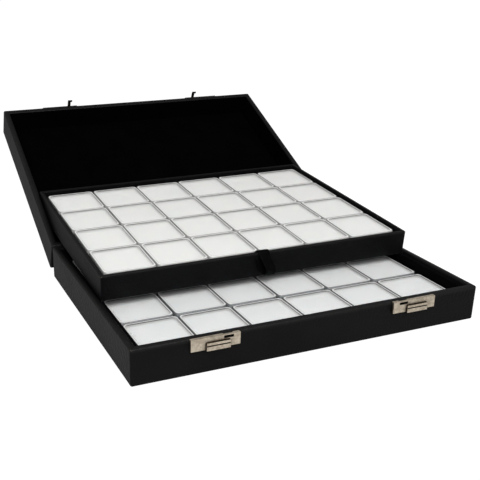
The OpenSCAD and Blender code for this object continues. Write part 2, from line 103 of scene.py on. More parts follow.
def leatherette(name, grain_mm, gloss, tones):
    """Black vinyl leatherette, embossed with pebbles: a low plastic gloss that varies slowly, fine creases
    between the pebbles, paler rubbed edges, and a mitre fold at each corner of the rim.
    The pebbles are drawn about twice as large as the real ones, so that they show.
    The UV's X is the distance from a fold, and its Y is how much an edge is rubbed."""
    made, tree, shader = material(name, Specular_IOR_Level=gloss)
    where = add(tree, "ShaderNodeTexCoord", out="Object")
    folds = add(tree, "ShaderNodeUVMap", uv_map="folds")
    from_fold = add(tree, "ShaderNodeSeparateXYZ", {"Vector": folds}, "X")
    at_edge = add(tree, "ShaderNodeSeparateXYZ", {"Vector": folds}, "Y")

    cloud = add(tree, "ShaderNodeTexNoise", {"Vector": where, "Scale": lumps(38)})
    scuffs = add(tree, "ShaderNodeTexNoise", {
        "Vector": where, "Scale": lumps(5), "Detail": 4, "Roughness": 0.7})
    rub = add(tree, "ShaderNodeMath", {0: at_edge, 1: scuffs}, operation="MULTIPLY")
    base = add(tree, "ShaderNodeValToRGB", {"Fac": cloud}, stops=[(0.3, tones[0]), (0.7, tones[1])])
    worn = add(tree, "ShaderNodeMix", {
        "Factor": rub, "A": base, "B": colour("#1f1e1d")}, 2, data_type="RGBA")
    polish = add(tree, "ShaderNodeMapRange", {"Value": cloud, "To Min": 0.44, "To Max": 0.56})

    pebbles = add(tree, "ShaderNodeTexVoronoi", {
        "Vector": where, "Scale": lumps(grain_mm), "Smoothness": 0.6}, feature="SMOOTH_F1")
    creases = add(tree, "ShaderNodeTexNoise", {
        "Vector": where, "Scale": lumps(0.35), "Detail": 3, "Roughness": 0.6})
    away = add(tree, "ShaderNodeMath", {0: from_fold}, operation="ABSOLUTE")
    fold = add(tree, "ShaderNodeMapRange", {"Value": away, "From Max": 0.35 * MM})
    hide = add(tree, "ShaderNodeBump", {
        "Height": pebbles, "Strength": 0.7, "Distance": 0.3 * MM}, invert=True)
    creased = add(tree, "ShaderNodeBump", {
        "Height": creases, "Strength": 0.25, "Distance": 0.06 * MM, "Normal": hide})
    mitred = add(tree, "ShaderNodeBump", {
        "Height": fold, "Strength": 0.8, "Distance": 0.3 * MM, "Normal": creased})
    feed(tree, shader, {"Base Color": worn, "Roughness": polish, "Normal": mitred})
    return made


def velvet(name, pile, deep, glow):
    """Black flocked velvet: nearly no light off its face, a faint sheen at a glancing angle, and patches
    about 26 mm across where the pile is brushed another way. The fibres are drawn half a millimetre across,
    far coarser than real ones, so that they show."""
    made, tree, shader = material(
        name, Roughness=1.0, Specular_IOR_Level=0.01,
        Sheen_Weight=glow, Sheen_Roughness=0.35, Sheen_Tint=colour("#6a6a70"))
    where = add(tree, "ShaderNodeTexCoord", out="Object")
    brushed = add(tree, "ShaderNodeTexNoise", {
        "Vector": where, "Scale": lumps(26), "Detail": 3, "Roughness": 0.6})
    fibre = add(tree, "ShaderNodeTexNoise", {"Vector": where, "Scale": lumps(0.5), "Roughness": 0.7})
    tone = add(tree, "ShaderNodeValToRGB", {"Fac": brushed}, stops=[(0.35, deep), (0.7, pile)])
    nap = add(tree, "ShaderNodeBump", {"Height": fibre, "Strength": 0.5, "Distance": 0.2 * MM})
    lay = add(tree, "ShaderNodeBump", {
        "Height": brushed, "Strength": 0.3, "Distance": 2 * MM, "Normal": nap})
    feed(tree, shader, {"Base Color": tone, "Normal": lay})
    return made


def closed_foam(name, tone, shade):
    """Sliced cross-linked foam: closed cells about half a millimetre across, matt, with a little light
    let in under its skin, and a tone that drifts over about 30 mm."""
    made, tree, shader = material(name, Roughness=0.85, Subsurface_Weight=0.15, Subsurface_Scale=2 * MM)
    where = add(tree, "ShaderNodeTexCoord", out="Object")
    drift = add(tree, "ShaderNodeTexNoise", {"Vector": where, "Scale": lumps(30), "Detail": 1})
    cells = add(tree, "ShaderNodeTexVoronoi", {"Vector": where, "Scale": lumps(0.55)})
    shaded = add(tree, "ShaderNodeValToRGB", {"Fac": drift}, stops=[(0.3, shade), (0.65, tone)])
    skin = add(tree, "ShaderNodeBump", {"Height": cells, "Strength": 0.25, "Distance": 0.1 * MM})
    feed(tree, shader, {"Base Color": shaded, "Normal": skin})
    return made


def clear_plastic(name, rim=True, edge_tone="#a4a4a2"):
    """Clear moulded polystyrene: glossy, less see-through at a glancing angle, with faint swirls in its
    gloss and shallow sink marks. With rim, the UV's Y is the distance in from a lid's edge, and light is
    painted in bands: the lid is grey to 0.4 mm in, painted white from 0.7 to 1.5 mm for the foam's light
    that its wall carries outward, crossed by a painted grey line at 1.3 mm where the light turns, and clear
    from 2 mm in."""
    made, tree, shader = material(name, IOR=1.59, Coat_Weight=0.3)
    where = add(tree, "ShaderNodeTexCoord", out="Object")
    glance = add(tree, "ShaderNodeLayerWeight", {"Blend": 0.2}, "Fresnel")
    cover = add(tree, "ShaderNodeMapRange", {"Value": glance, "To Min": 0.06, "To Max": 0.7})
    tone = colour("#e4e8e8")
    if rim:
        widest = 4
        white, line, haze = "#e0e0de", "#a4a4a2", "#dcdcda"
        # Each band: millimetres in from the edge, its tone, and how much it covers what is behind
        bands = [(0, edge_tone, 0.6), (0.4, edge_tone, 0.5), (0.68, white, 0.75), (1.12, white, 0.9),
                 (1.32, line, 0.4), (1.52, white, 0.6), (2, haze, 0)]
        folds = add(tree, "ShaderNodeUVMap", uv_map="folds")
        inset = add(tree, "ShaderNodeSeparateXYZ", {"Vector": folds}, "Y")
        place = add(tree, "ShaderNodeMapRange", {"Value": inset, "From Max": widest * MM})
        tone = add(tree, "ShaderNodeValToRGB", {"Fac": place},
                   stops=[(mm / widest, shade) for mm, shade, _ in bands])
        band = add(tree, "ShaderNodeValToRGB", {"Fac": place},
                   stops=[(mm / widest, (share, share, share, 1)) for mm, _, share in bands])
        cover = add(tree, "ShaderNodeMath", {0: cover, 1: band}, operation="MAXIMUM")
    swirls = add(tree, "ShaderNodeTexNoise", {
        "Vector": where, "Scale": lumps(9), "Detail": 4, "Roughness": 0.65})
    polish = add(tree, "ShaderNodeMapRange", {"Value": swirls, "To Min": 0.08, "To Max": 0.18})
    dips = add(tree, "ShaderNodeTexNoise", {"Vector": where, "Scale": lumps(16), "Detail": 1})
    sink = add(tree, "ShaderNodeBump", {"Height": dips, "Strength": 0.15, "Distance": 0.6 * MM})
    feed(tree, shader, {"Base Color": tone, "Alpha": cover, "Roughness": polish, "Normal": sink})
    return made


def plated(name, bright, dull, roughness):
    """Nickel plate on pressed steel: warm and satin, with lines along X left by the rolling, and cloudier
    spots.
    In the corners within 4 mm of another face it is darkened to brown, a painted shade read from ambient
    occlusion. The lines are made 0.22 mm wide, coarser than the real ones, so that they show."""
    made, tree, shader = material(name, Metallic=1.0)
    where = add(tree, "ShaderNodeTexCoord", out="Object")
    stretched = add(tree, "ShaderNodeMapping", {"Vector": where, "Scale": (0.04, 1, 1)})
    lines = add(tree, "ShaderNodeTexNoise", {
        "Vector": stretched, "Scale": lumps(0.22), "Detail": 3, "Roughness": 0.6})
    spots = add(tree, "ShaderNodeTexNoise", {
        "Vector": where, "Scale": lumps(2.5), "Detail": 4, "Roughness": 0.7})
    unshaded_tone = add(tree, "ShaderNodeValToRGB", {"Fac": spots}, stops=[(0.38, dull), (0.6, bright)])
    # Painted shade: brown where ambient occlusion finds another face close by, in corners and recesses
    open_sky = add(tree, "ShaderNodeAmbientOcclusion", {"Distance": 3.8 * MM}, "AO", samples=8)
    unshaded_share = add(tree, "ShaderNodeMapRange", {"Value": open_sky, "From Min": 0.66, "From Max": 0.93})
    painted_corner_shade = add(tree, "ShaderNodeMix", {
        "Factor": unshaded_share, "A": colour("#3a3228"), "B": unshaded_tone}, 2, data_type="RGBA")
    polish = add(tree, "ShaderNodeMapRange", {
        "Value": lines, "To Min": roughness - 0.05, "To Max": roughness + 0.1})
    drawn = add(tree, "ShaderNodeBump", {"Height": lines, "Strength": 0.12, "Distance": 0.05 * MM})
    feed(tree, shader, {"Base Color": painted_corner_shade, "Roughness": polish, "Normal": drawn})
    return made


def fibrous(name, lump_mm, stops, relief, roughness):
    """A pressed sheet of fibres: matt, with flecks about lump_mm across that differ in tone and stand up by
    relief, in metres."""
    made, tree, shader = material(name, Roughness=roughness)
    where = add(tree, "ShaderNodeTexCoord", out="Object")
    flecks = add(tree, "ShaderNodeTexNoise", {
        "Vector": where, "Scale": lumps(lump_mm), "Detail": 4, "Roughness": 0.7})
    tone = add(tree, "ShaderNodeValToRGB", {"Fac": flecks}, stops=stops)
    tooth = add(tree, "ShaderNodeBump", {"Height": flecks, "Strength": 0.4, "Distance": relief})
    feed(tree, shader, {"Base Color": tone, "Normal": tooth})
    return made


def satin(name):
    """Woven satin: ribs across the ribbon's length and a soft low gloss. The wave texture runs through 20
    radians per unit, so this scale puts the ribs 0.8 mm apart, about twice as coarse as real ones, so that
    they show."""
    made, tree, shader = material(name, Roughness=0.55, Specular_IOR_Level=0.03)
    where = add(tree, "ShaderNodeTexCoord", out="Object")
    ribs = add(tree, "ShaderNodeTexWave", {"Vector": where, "Scale": lumps(2.52), "Distortion": 0.4}, "Fac",
               bands_direction="Z")
    tone = add(tree, "ShaderNodeValToRGB", {"Fac": ribs}, stops=[(0.2, "#010101"), (0.8, "#040404")])
    weave = add(tree, "ShaderNodeBump", {"Height": ribs, "Strength": 0.5, "Distance": 0.1 * MM})
    feed(tree, shader, {"Base Color": tone, "Normal": weave})
    return made


LEATHER = leatherette("black embossed leatherette", 1.7, 0.1, ("#050506", "#090909"))
# The tray's covering is thinner and its grain finer, and it shines less
TRAY_LEATHER = leatherette("tray's thin leatherette", 1.3, 0.07, ("#030304", "#060606"))
VELVET = velvet("black velvet", "#070708", "#040405", 0.03)
# Painted shade: the velvet in the open lid is darker and almost without sheen, so that deep in the lid the
# pile gives back almost nothing
SHADED_LID_VELVET = velvet("padded black velvet darkened as painted shade", "#020202", "#010101", 0.002)
FOAM = closed_foam("white polyethylene foam", "#f3f3f2", "#ecedec")
# The lower foam looks a little bluer in the tray's shade
LOW_FOAM = closed_foam("white polyethylene foam below", "#eef1f4", "#e6eaee")
PAD_FOAM = closed_foam("dark polyurethane foam", "#2c2c2c", "#242424")
CLEAR = clear_plastic("clear polystyrene lid")
# Below the tray the lids' edges catch less light, so their outer line is darker
CLEAR_LOW = clear_plastic("clear polystyrene lid below", True, "#5c5e60")
CLEAR_CUP = clear_plastic("clear polystyrene cup", False)
NICKEL = plated("satin nickel plate", "#ddd1be", "#bcaf9c", 0.42)
NICKEL_DARK = plated("dull nickel hinge", "#a59b88", "#8b8274", 0.42)
# Painted shade: the hook plates' nickel is darkened until they look nearly black against the lid
SHADED_HOOK_NICKEL = plated("nickel hook darkened as painted shade", "#3b3834", "#2a2826", 0.5)
# The pins and nails are plain bright wire, smoother and greyer than the plate
STEEL = plated("drawn steel wire", "#b8b2a8", "#98938b", 0.3)
# Grey-brown chips a few millimetres long, rough where they were sawn
BOARD = fibrous("chipboard", 2.2, [(0.35, "#6d5c45"), (0.65, "#a1907a")], 0.2 * MM, 0.9)
# Soft black with a fine tooth and no shine
PAPER = fibrous("black lining paper", 0.7, [(0.3, "#121214"), (0.7, "#232326")], 0.1 * MM, 0.85)
SATIN = satin("black satin ribbon")


# Where the bodies stand

def points_of(*names):
    """Every vertex of these CAD nodes, one row each."""
    found = []
    for name in names:
        mesh = NODES[name].data
        co = np.empty(len(mesh.vertices) * 3, np.float32)
        mesh.vertices.foreach_get("co", co)
        found.append(co.reshape(-1, 3).astype(float))
    return np.concatenate(found)


def moved(points, matrix):
    """Points (..., 3) through a 4 by 4 matrix."""
    m = np.array(matrix)
    return points @ m[:3, :3].T + m[:3, 3]


def span_in(matrix, *names):
    """Lowest and highest corner of these nodes in the frame that matrix places."""
    local = moved(points_of(*names), matrix.inverted())
    return local.min(0), local.max(0)


AXIS = Vector(JOINTS["lid_hinge"]["pos_m"])
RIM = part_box("base_wrap")[1].z
# How far the lid has left to turn before it lies flat, and how far the tray leans
LID_LEFT = math.radians(JOINTS["lid_hinge"]["range_deg"][1])
TILT = -math.atan2(*JOINTS["upper_jar_lift"]["axis"][1:])

AT_BASE = Matrix.Identity(4)
# The lid's own frame: its rim at height 0 and its top face up the Z axis
AT_LID = (
    Matrix.Translation(AXIS) @ Matrix.Rotation(LID_LEFT - math.pi, 4, "X")
    @ Matrix.Translation((0, -AXIS.y, AXIS.z - RIM))
)
LID_H = span_in(AT_LID, "lid_wrap")[1][2]
# The lid upside down, so that its closed side is at height 0 and its rim is up
AT_LID_UP = AT_LID @ Matrix.Translation((0, 0, LID_H)) @ Matrix.Rotation(math.pi, 4, "X")
# The tray's own frame: centred, standing on height 0
LEANING = Matrix.Rotation(TILT, 4, "X")
tray_low, tray_high = span_in(LEANING, "tray_wrap")
AT_TRAY = LEANING @ Matrix.Translation((*(tray_low + tray_high)[:2] / 2, tray_low[2]))


# Meshes

def outline(steps, along_x, along_y):
    """Points of a rounded rectangle, anticlockwise from its +X side, as six rows of numbers.
    Each point has a corner's signs (sx, sy), a direction (cos, sin), and its place on a straight side;
    along_x and along_y are those places, in metres from the middle, for the two kinds of side."""
    parts = []
    for quarter, (sx, sy) in enumerate([(1, 1), (-1, 1), (-1, -1), (1, -1)]):
        side = np.sort(along_y if quarter % 2 else along_x)
        side = side[::-1] if quarter < 2 else side
        turn = 90 * quarter + np.linspace(0, 90, steps + 1)
        angle = np.concatenate([turn, np.full(len(side), turn[-1])])
        place = np.concatenate([np.full(len(turn), np.nan), side])
        none = np.full(len(angle), np.nan)
        x, y = (none, place) if quarter % 2 else (place, none)
        parts.append([np.full(len(angle), sx), np.full(len(angle), sy), angle, x, y])
    sx, sy, angle, x, y = np.concatenate(parts, 1)
    return sx, sy, np.cos(np.radians(angle)), np.sin(np.radians(angle)), x, y


def rings(shape, w, d, profile, r):
    """Points (ring, point, 3) of rounded rectangles w by d, inset and raised by the profile's rows.
    A corner point is at sx * (W / 2 - R) + R * cos; a side point keeps its own place along the side.
    R is r less the inset, or a third number in the profile's rows where there is one and it is larger."""
    sx, sy, c, s, side_x, side_y = shape
    tiny, sharpest = 0.01 * MM, 0.2 * MM
    inset, z = profile[:, 0:1], profile[:, 1:2]
    least = sharpest + 0.1 * inset if profile.shape[1] < 3 else np.maximum(profile[:, 2:3], sharpest)
    half_w, half_d = np.maximum(w / 2 - inset, tiny), np.maximum(d / 2 - inset, tiny)
    radius = np.minimum(np.maximum(r - inset, least), np.minimum(half_w, half_d) * 0.999)
    x = sx * (half_w - radius) + radius * c
    y = sy * (half_d - radius) + radius * s
    x = np.where(np.isnan(side_x), x, np.clip(np.nan_to_num(side_x), radius - half_w, half_w - radius))
    y = np.where(np.isnan(side_y), y, np.clip(np.nan_to_num(side_y), radius - half_d, half_d - radius))
    return np.stack([x, y, np.broadcast_to(z, x.shape)], -1)


def ring_faces(count, around, closed):
    """Quads between rings of points, and the two end caps where the profile isn't closed."""
    i = np.arange(count if closed else count - 1)[:, None]
    j = np.arange(around)[None, :]
    up = (i + 1) % count
    after = (j + 1) % around
    corners = [i * around + j, i * around + after, up * around + after, up * around + j]
    caps = [] if closed else [np.arange(around)[::-1], np.arange((count - 1) * around, count * around)]
    return np.stack(corners, -1).reshape(-1, 4), caps


def arc(cx, cz, r, start, end, steps):
    """Profile points (inset, height) on an arc from start to end degrees."""
    a = np.radians(np.linspace(start, end, steps + 1))
    return np.stack([cx + r * np.cos(a), cz + r * np.sin(a)], -1)


def rows_at(height, *rows):
    """Profile rows that are given in millimetres, with their heights counted from height, in metres."""
    table = np.array(rows, float) * MM
    table[:, 1] += height
    return table


def side_places(half, step, extra=()):
    """Places along a side about step apart, with the extra ones where a cut begins or ends, and no others
    right beside those."""
    beside = 0.4 * MM
    plain = np.linspace(-half, half, max(2, int(2 * half / step)))
    extra = np.array(list(extra), float)
    if len(extra):
        plain = plain[np.min(np.abs(plain[:, None] - extra[None, :]), 1) > beside]
    return np.concatenate([plain, extra])


def divided(steps, w, d, corner, step, ends_x=()):
    """Outline of a rectangle w by d, its sides divided about every step, to corner from each end."""
    return outline(steps, side_places(w / 2 - corner, step, ends_x), side_places(d / 2 - corner, step))


def piece(name, points, faces, made, body, sharp=45, uv=None):
    """One object from points and faces in the case's frame, riding on a body."""
    mesh = bpy.data.meshes.new(name)
    mesh.from_pydata(points.reshape(-1, 3).tolist(), [], [list(map(int, face)) for face in faces])
    mesh.validate()
    mesh.shade_smooth()
    mesh.set_sharp_from_angle(angle=math.radians(sharp))
    mesh.materials.append(made)
    if uv is not None:
        layer = mesh.uv_layers.new(name="folds")
        corner = np.empty(len(mesh.loops), np.int32)
        mesh.loops.foreach_get("vertex_index", corner)
        layer.data.foreach_set("uv", uv.reshape(-1, 2)[corner].astype(np.float32).ravel())
    made_object = bpy.data.objects.new(name, mesh)
    bpy.context.scene.collection.objects.link(made_object)
    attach(made_object, body)
    return made_object


# Leatherette coverings

PIN_LOW, PIN_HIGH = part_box("right_hinge_pin")
HINGE_X = abs((PIN_LOW.x + PIN_HIGH.x) / 2)
HINGE_HALF = (PIN_HIGH.x - PIN_LOW.x) / 2
# A hinge leaf's thickness, and how far its seat reaches in front of the pin
LEAF_T = 0.8 * MM
LEAF_REACH = 6.2 * MM
# The radius of the knuckles' room, and how high the pin lies over the rim
KNUCKLE_ROOM = 1.8 * MM
KNUCKLE_RISE = 0.2 * MM
# Steps in the round of an edge
BEND_STEPS = 5


def pull(points, w, d, amount):
    """Glued covering is never quite flat: the outer walls draw in by up to amount,
    by a sum of slow sines over the place along the wall and the height."""
    x, y, z = points[..., 0], points[..., 1], points[..., 2]
    skin = 2.5 * MM
    wave = (2 + np.sin(x / (11 * MM) + 1.3 * np.sin(z / (7 * MM))) * 0.6 + np.sin(y / (13 * MM) + 0.7) * 0.6
            + np.sin((x + y) / (37 * MM) + z / (11 * MM)) * 0.8) / 4
    near_x = np.clip((np.abs(x) - (w / 2 - skin)) / skin, 0, 1)
    near_y = np.clip((np.abs(y) - (d / 2 - skin)) / skin, 0, 1)
    drawn = points.copy()
    drawn[..., 0] -= np.sign(x) * near_x * wave * amount
    drawn[..., 1] -= np.sign(y) * near_y * wave * amount
    return drawn


def hinge_seats(points, rim, hinge_side):
    """Lowers the rim under the hinge leaves by their thickness, and opens the round room of the knuckles.
    hinge_side is the sign of the Y side that the hinges are on in the covering's own frame."""
    x, y, z = points[..., 0], points[..., 1] * hinge_side, points[..., 2]
    inside = np.abs(np.abs(x) - HINGE_X) < HINGE_HALF + 0.02 * MM
    seat = inside & (y > AXIS.y - LEAF_REACH) & (z > rim - LEAF_T)
    z = np.where(seat, rim - LEAF_T, z)
    dy, dz = y - AXIS.y, z - (rim + KNUCKLE_RISE)
    far = np.hypot(dy, dz)
    push = inside & (far < KNUCKLE_ROOM)
    scale = np.where(push, KNUCKLE_ROOM / np.maximum(far, 0.01 * MM), 1)
    y = np.where(push, AXIS.y + dy * scale, y)
    z = np.where(push, rim + KNUCKLE_RISE + dz * scale, z)
    return np.stack([x, y * hinge_side, z], -1)


def covering(name, made, body, place, size, layers, edge, turn, start, low=0.0, across=True, hinge_side=0):
    """Leatherette over a shallow tray, as one profile carried round it: from start under the bottom, round
    the lower edge, up the wall, over the rim, down inside by turn, and back along the boards' faces.
    size is width, depth and height; layers are the thickness of the wall, of the covering, and of its
    turned-in part; low is the underside's height; across says that it goes right across the bottom."""
    w, d, h = size
    wall, skin, inner = layers
    wall_z = low + edge + (h - low - 2 * edge) * np.array([0.06, 0.2, 0.35, 0.5, 0.65, 0.8, 0.94])
    rim_r = min(edge, (wall - edge) * 0.4)
    down = h - rim_r - (turn - rim_r) * np.array([0.15, 0.5, 1.0])
    profile = [
        start,
        arc(edge, low + edge, edge, 270, 180, BEND_STEPS),
        np.stack([0 * wall_z, wall_z], -1),
        arc(edge, h - edge, edge, 180, 90, BEND_STEPS),
        arc(wall - rim_r, h - rim_r, rim_r, 90, 0, 4),
        np.stack([wall + 0 * down, down], -1),
        [[wall - inner, h - turn], [wall - inner, h - 1.2 * skin], [wall - inner - skin, h - skin],
         [2 * skin, h - skin], [skin, h - 2 * skin], [skin, low + 2 * skin], [2 * skin, low + skin]],
    ]
    if across:
        profile.append([[d / 2 - 1 * MM, low + skin]])
    profile = np.concatenate(profile)

    seat_ends = [side * HINGE_X + end * (HINGE_HALF + gap)
                 for side in (-1, 1) for end in (-1, 1) for gap in (0.0, 0.06 * MM)]
    shape = divided(7, w, d, 3 * MM, 5 * MM, seat_ends if hinge_side else ())
    points = pull(rings(shape, w, d, profile, edge), w, d, 0.1 * MM)

    # The mitre folds: a point's distance from the line at 45 degrees, and far off where there is no fold
    x, y, z = points[..., 0], points[..., 1], points[..., 2]
    in_x, in_y = w / 2 - np.abs(x), d / 2 - np.abs(y)
    flat = (z > h - 0.3 * MM) | (z < low + 0.1 * MM)
    fold_reach, far_off = wall + 12 * MM, 1.0
    fold = np.where(flat & (np.maximum(in_x, in_y) < fold_reach), in_x - in_y, far_off)
    # How much each ring is rubbed: the lower edge's bend without its two ends, and the rim's whole bend
    low_rub, rim_rub = 0.5, 0.65
    rubbed = np.zeros(len(profile))
    low_bend = len(start)
    rim_bend = low_bend + BEND_STEPS + 1 + len(wall_z)
    rubbed[low_bend + 1:low_bend + BEND_STEPS] = low_rub
    rubbed[rim_bend:rim_bend + BEND_STEPS + 1] = rim_rub
    uv = np.stack([fold, np.broadcast_to(rubbed[:, None], fold.shape)], -1)

    if hinge_side:
        points = hinge_seats(points, h, hinge_side)
    quads, caps = ring_faces(len(profile), points.shape[1], not across)
    cover = piece(name, moved(points, place), [*quads, *caps], made, body, 50, uv)
    # Flat faces keep flat shading beside rounded edges
    weighted = cover.modifiers.new("Weighted normals", "WEIGHTED_NORMAL")
    weighted.keep_sharp = True
    return cover


low, high = span_in(AT_BASE, "base_wrap")
case_w, case_d, base_h, under = high[0] - low[0], high[1] - low[1], high[2], low[2]
board_low, board_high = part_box("base_right_board")
floor_low, floor_high = span_in(AT_BASE, "base_floor_velvet")
WALL = (case_w - (floor_high[0] - floor_low[0])) / 2
SKIN = high[0] - board_high.x
LAYERS = (WALL, SKIN, WALL - SKIN - (board_high.x - board_low.x))
EDGE = 1.5 * MM
TURN_IN = 14 * MM
LID_TURN_IN = 13 * MM

# Under the base the covering is turned in and ends, and the underside sheet covers the rest
turned_under = np.array([
    [TURN_IN, under + SKIN], [TURN_IN, under + 0.2 * MM], [TURN_IN - 0.3 * MM, under], [5 * MM, under]])
base_cover = covering(
    "base_cover", LEATHER, "base", AT_BASE, (case_w, case_d, base_h), LAYERS, EDGE, TURN_IN,
    turned_under, under, across=False, hinge_side=1)
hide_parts("base_wrap")

# Across a closed bottom, from its middle out to 12 mm from the edge
closed_bottom = rows_at(0, [case_d / 2 / MM - 1, 0], [60, 0], [30, 0], [12, 0])
lid_cover = covering(
    "lid_cover", LEATHER, "lid", AT_LID_UP, (case_w, case_d, LID_H), LAYERS, EDGE, LID_TURN_IN,
    np.concatenate([closed_bottom, rows_at(0, [4, 0])]), hinge_side=-1)
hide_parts("lid_wrap")

low, high = span_in(AT_TRAY, "tray_wrap")
tray_w, tray_d, tray_h = high - low
floor_low, floor_high = span_in(AT_TRAY, "tray_floor_velvet")
TRAY_WALL = (tray_w - (floor_high[0] - floor_low[0])) / 2
tray_cover = covering(
    "tray_cover", TRAY_LEATHER, "tray", AT_TRAY, (tray_w, tray_d, tray_h), (TRAY_WALL, 0.4 * MM, 0.5 * MM),
    1.0 * MM, tray_h - floor_high[2], closed_bottom * [tray_d / case_d, 1])
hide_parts("tray_wrap")


# Velvet linings

def lining(name, made, body, place, nodes, t, lip, waves):
    """Velvet strip, t thick, that stands round an opening's walls in place of the nodes, its upper edge
    rolled over by lip, and lowered by up to waves where the pile is uneven, by a mean of three sines."""
    corner_low, corner_high = span_in(place, *nodes)
    w, d, _ = corner_high - corner_low
    bottom, top = corner_low[2], corner_high[2]
    middle = bottom + (top - bottom) * 0.5
    profile = np.concatenate([
        [[0, bottom], [0, middle]], arc(lip, top - lip, lip, 180, 90, 4),
        arc(t - lip, top - lip, lip, 90, 0, 4), [[t, middle], [t, bottom]]])
    shape = divided(4, w, d, 3 * MM, 6 * MM)
    points = rings(shape, w, d, profile, 0.4 * MM)
    x, y = points[..., 0], points[..., 1]
    ripple = (np.sin(x / (9 * MM)) + np.sin(y / (8 * MM) + 1) + np.sin((x - y) / (21 * MM))) / 3
    points[..., 2] -= (points[..., 2] > top - 0.1 * MM) * (0.5 + 0.5 * ripple) * waves
    quads, _ = ring_faces(len(profile), points.shape[1], True)
    strip = piece(name, moved(points, place), quads, made, body, 60)
    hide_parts(*nodes)


liner_low, liner_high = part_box("base_left_liner")
lining("base_lining", VELVET, "base", AT_BASE,
       ["base_front_liner", "base_back_liner", "base_left_liner", "base_right_liner"],
       liner_high.x - liner_low.x, 0.8 * MM, 0.1 * MM)
lining("lid_lining", SHADED_LID_VELVET, "lid", AT_LID_UP, ["lid_wall_lining"], 0.4 * MM, 0.19 * MM, 0.4 * MM)


def floor_cloth(name, node, body, place):
    """Velvet glued flat on a floor, as a grid over the floor and one under it, joined round the rim.
    Its height is lowered by sink, with a product and a sum of sines for the rise and fall of the pile."""
    low, high = span_in(place, node)
    n_x, n_y = 60, 42
    sink, rise = 0.12 * MM, 0.06 * MM
    x, y = np.meshgrid(np.linspace(low[0], high[0], n_x), np.linspace(low[1], high[1], n_y))
    pile = np.sin(x / (12 * MM)) * np.sin(y / (9 * MM) + 1) + np.sin((x + 2 * y) / (27 * MM))
    top = np.stack([x, y, high[2] - sink + rise * pile], -1)
    under_side = np.stack([x, y, np.full_like(x, low[2])], -1)
    points = np.concatenate([top.reshape(-1, 3), under_side.reshape(-1, 3)])
    i, j = np.meshgrid(np.arange(n_y - 1), np.arange(n_x - 1), indexing="ij")
    a = (i * n_x + j).ravel()
    quads = np.stack([a, a + 1, a + n_x + 1, a + n_x], -1)
    count = n_x * n_y
    rim = np.concatenate([
        np.arange(n_x), np.arange(1, n_y) * n_x + n_x - 1,
        (n_y - 1) * n_x + np.arange(n_x - 2, -1, -1), np.arange(n_y - 2, 0, -1) * n_x])
    after = np.roll(rim, -1)
    walls = np.stack([rim, rim + count, after + count, after], -1)
    cloth = piece(name, moved(points, place), [*quads, *(quads[:, ::-1] + count), *walls], VELVET, body, 60)
    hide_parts(node)


floor_cloth("base_floor_cloth", "base_floor_velvet", "base", AT_BASE)
floor_cloth("tray_floor_cloth", "tray_floor_velvet", "tray", AT_TRAY)


# Padded lid

def lid_pad():
    """Velvet over foam, crowned: z = top - roll * (1 - sqrt(1 - (1 - s / reach)^2)) for the distance s from
    the edge, with puckers in a band near the edge where the cloth is drawn round it, and shallow hollows."""
    low, high = span_in(AT_LID_UP, "lid_pad_velvet", "lid_pad_foam")
    w, d, top = high[0] - low[0], high[1] - low[1], high[2]
    side = low[2] + 0.3 * MM
    roll, reach, pucker_at, sag = 2.6 * MM, 28 * MM, 5 * MM, 0.5 * MM
    middle = d / 2 / MM - 0.6
    # Places in from the edge, closer together where the crown is steep
    s = np.array([0.0, 0.4, 1.2, 2.5, 4.5, 7, 10, 14, 19, 25, 33, 45, 60, 75, middle]) * MM
    fall = roll * (1 - np.sqrt(np.maximum(1 - np.clip(1 - s / reach, 0, 1) ** 2, 0)))
    profile = np.concatenate([
        rows_at(side, [middle, 0], [1, 0], [0.3, 0], [0, 0.4]), np.stack([s, top - fall], -1)])
    shape = divided(6, w, d, 4 * MM, 2.5 * MM)
    points = rings(shape, w, d, profile, 2.5 * MM)
    x, y, z = points[..., 0], points[..., 1], points[..., 2]
    in_x, in_y = w / 2 - np.abs(x), d / 2 - np.abs(y)
    along = np.where(in_x < in_y, y, x)
    band = np.exp(-((np.minimum(in_x, in_y) - pucker_at) / pucker_at) ** 2)
    pucker = band * (np.sin(along / (4.2 * MM) + 2 * np.sin(along / (31 * MM))) * 0.5
                     + np.sin(along / (1.9 * MM) + 1) * 0.2)
    hollow = sag * (0.5 + 0.5 * np.sin(x / (43 * MM) + 0.6) * np.sin(y / (36 * MM) + 1.1))
    points[..., 2] += (z > side + 1 * MM) * (pucker * 0.35 * MM - hollow - 0.2 * MM)
    quads, caps = ring_faces(len(profile), points.shape[1], False)
    pad = piece("lid_pad", moved(points, AT_LID_UP), [*quads, *caps], SHADED_LID_VELVET, "lid", 60)
    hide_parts("lid_pad_velvet", "lid_pad_foam")


lid_pad()


# Ribbon pull

def smooth_path(points, count):
    """Catmull-Rom curve through the points, as count points."""
    p = np.concatenate([[2 * points[0] - points[1]], points, [2 * points[-1] - points[-2]]])
    t = np.linspace(0, len(p) - 3 - 1e-9, count)
    i = t.astype(int)
    u = (t - i)[:, None]
    a, b, c, e = p[i], p[i + 1], p[i + 2], p[i + 3]
    return 0.5 * (2 * b + (c - a) * u + (2 * a - 5 * b + 4 * c - e) * u ** 2
                  + (3 * b - a - 3 * c + e) * u ** 3)


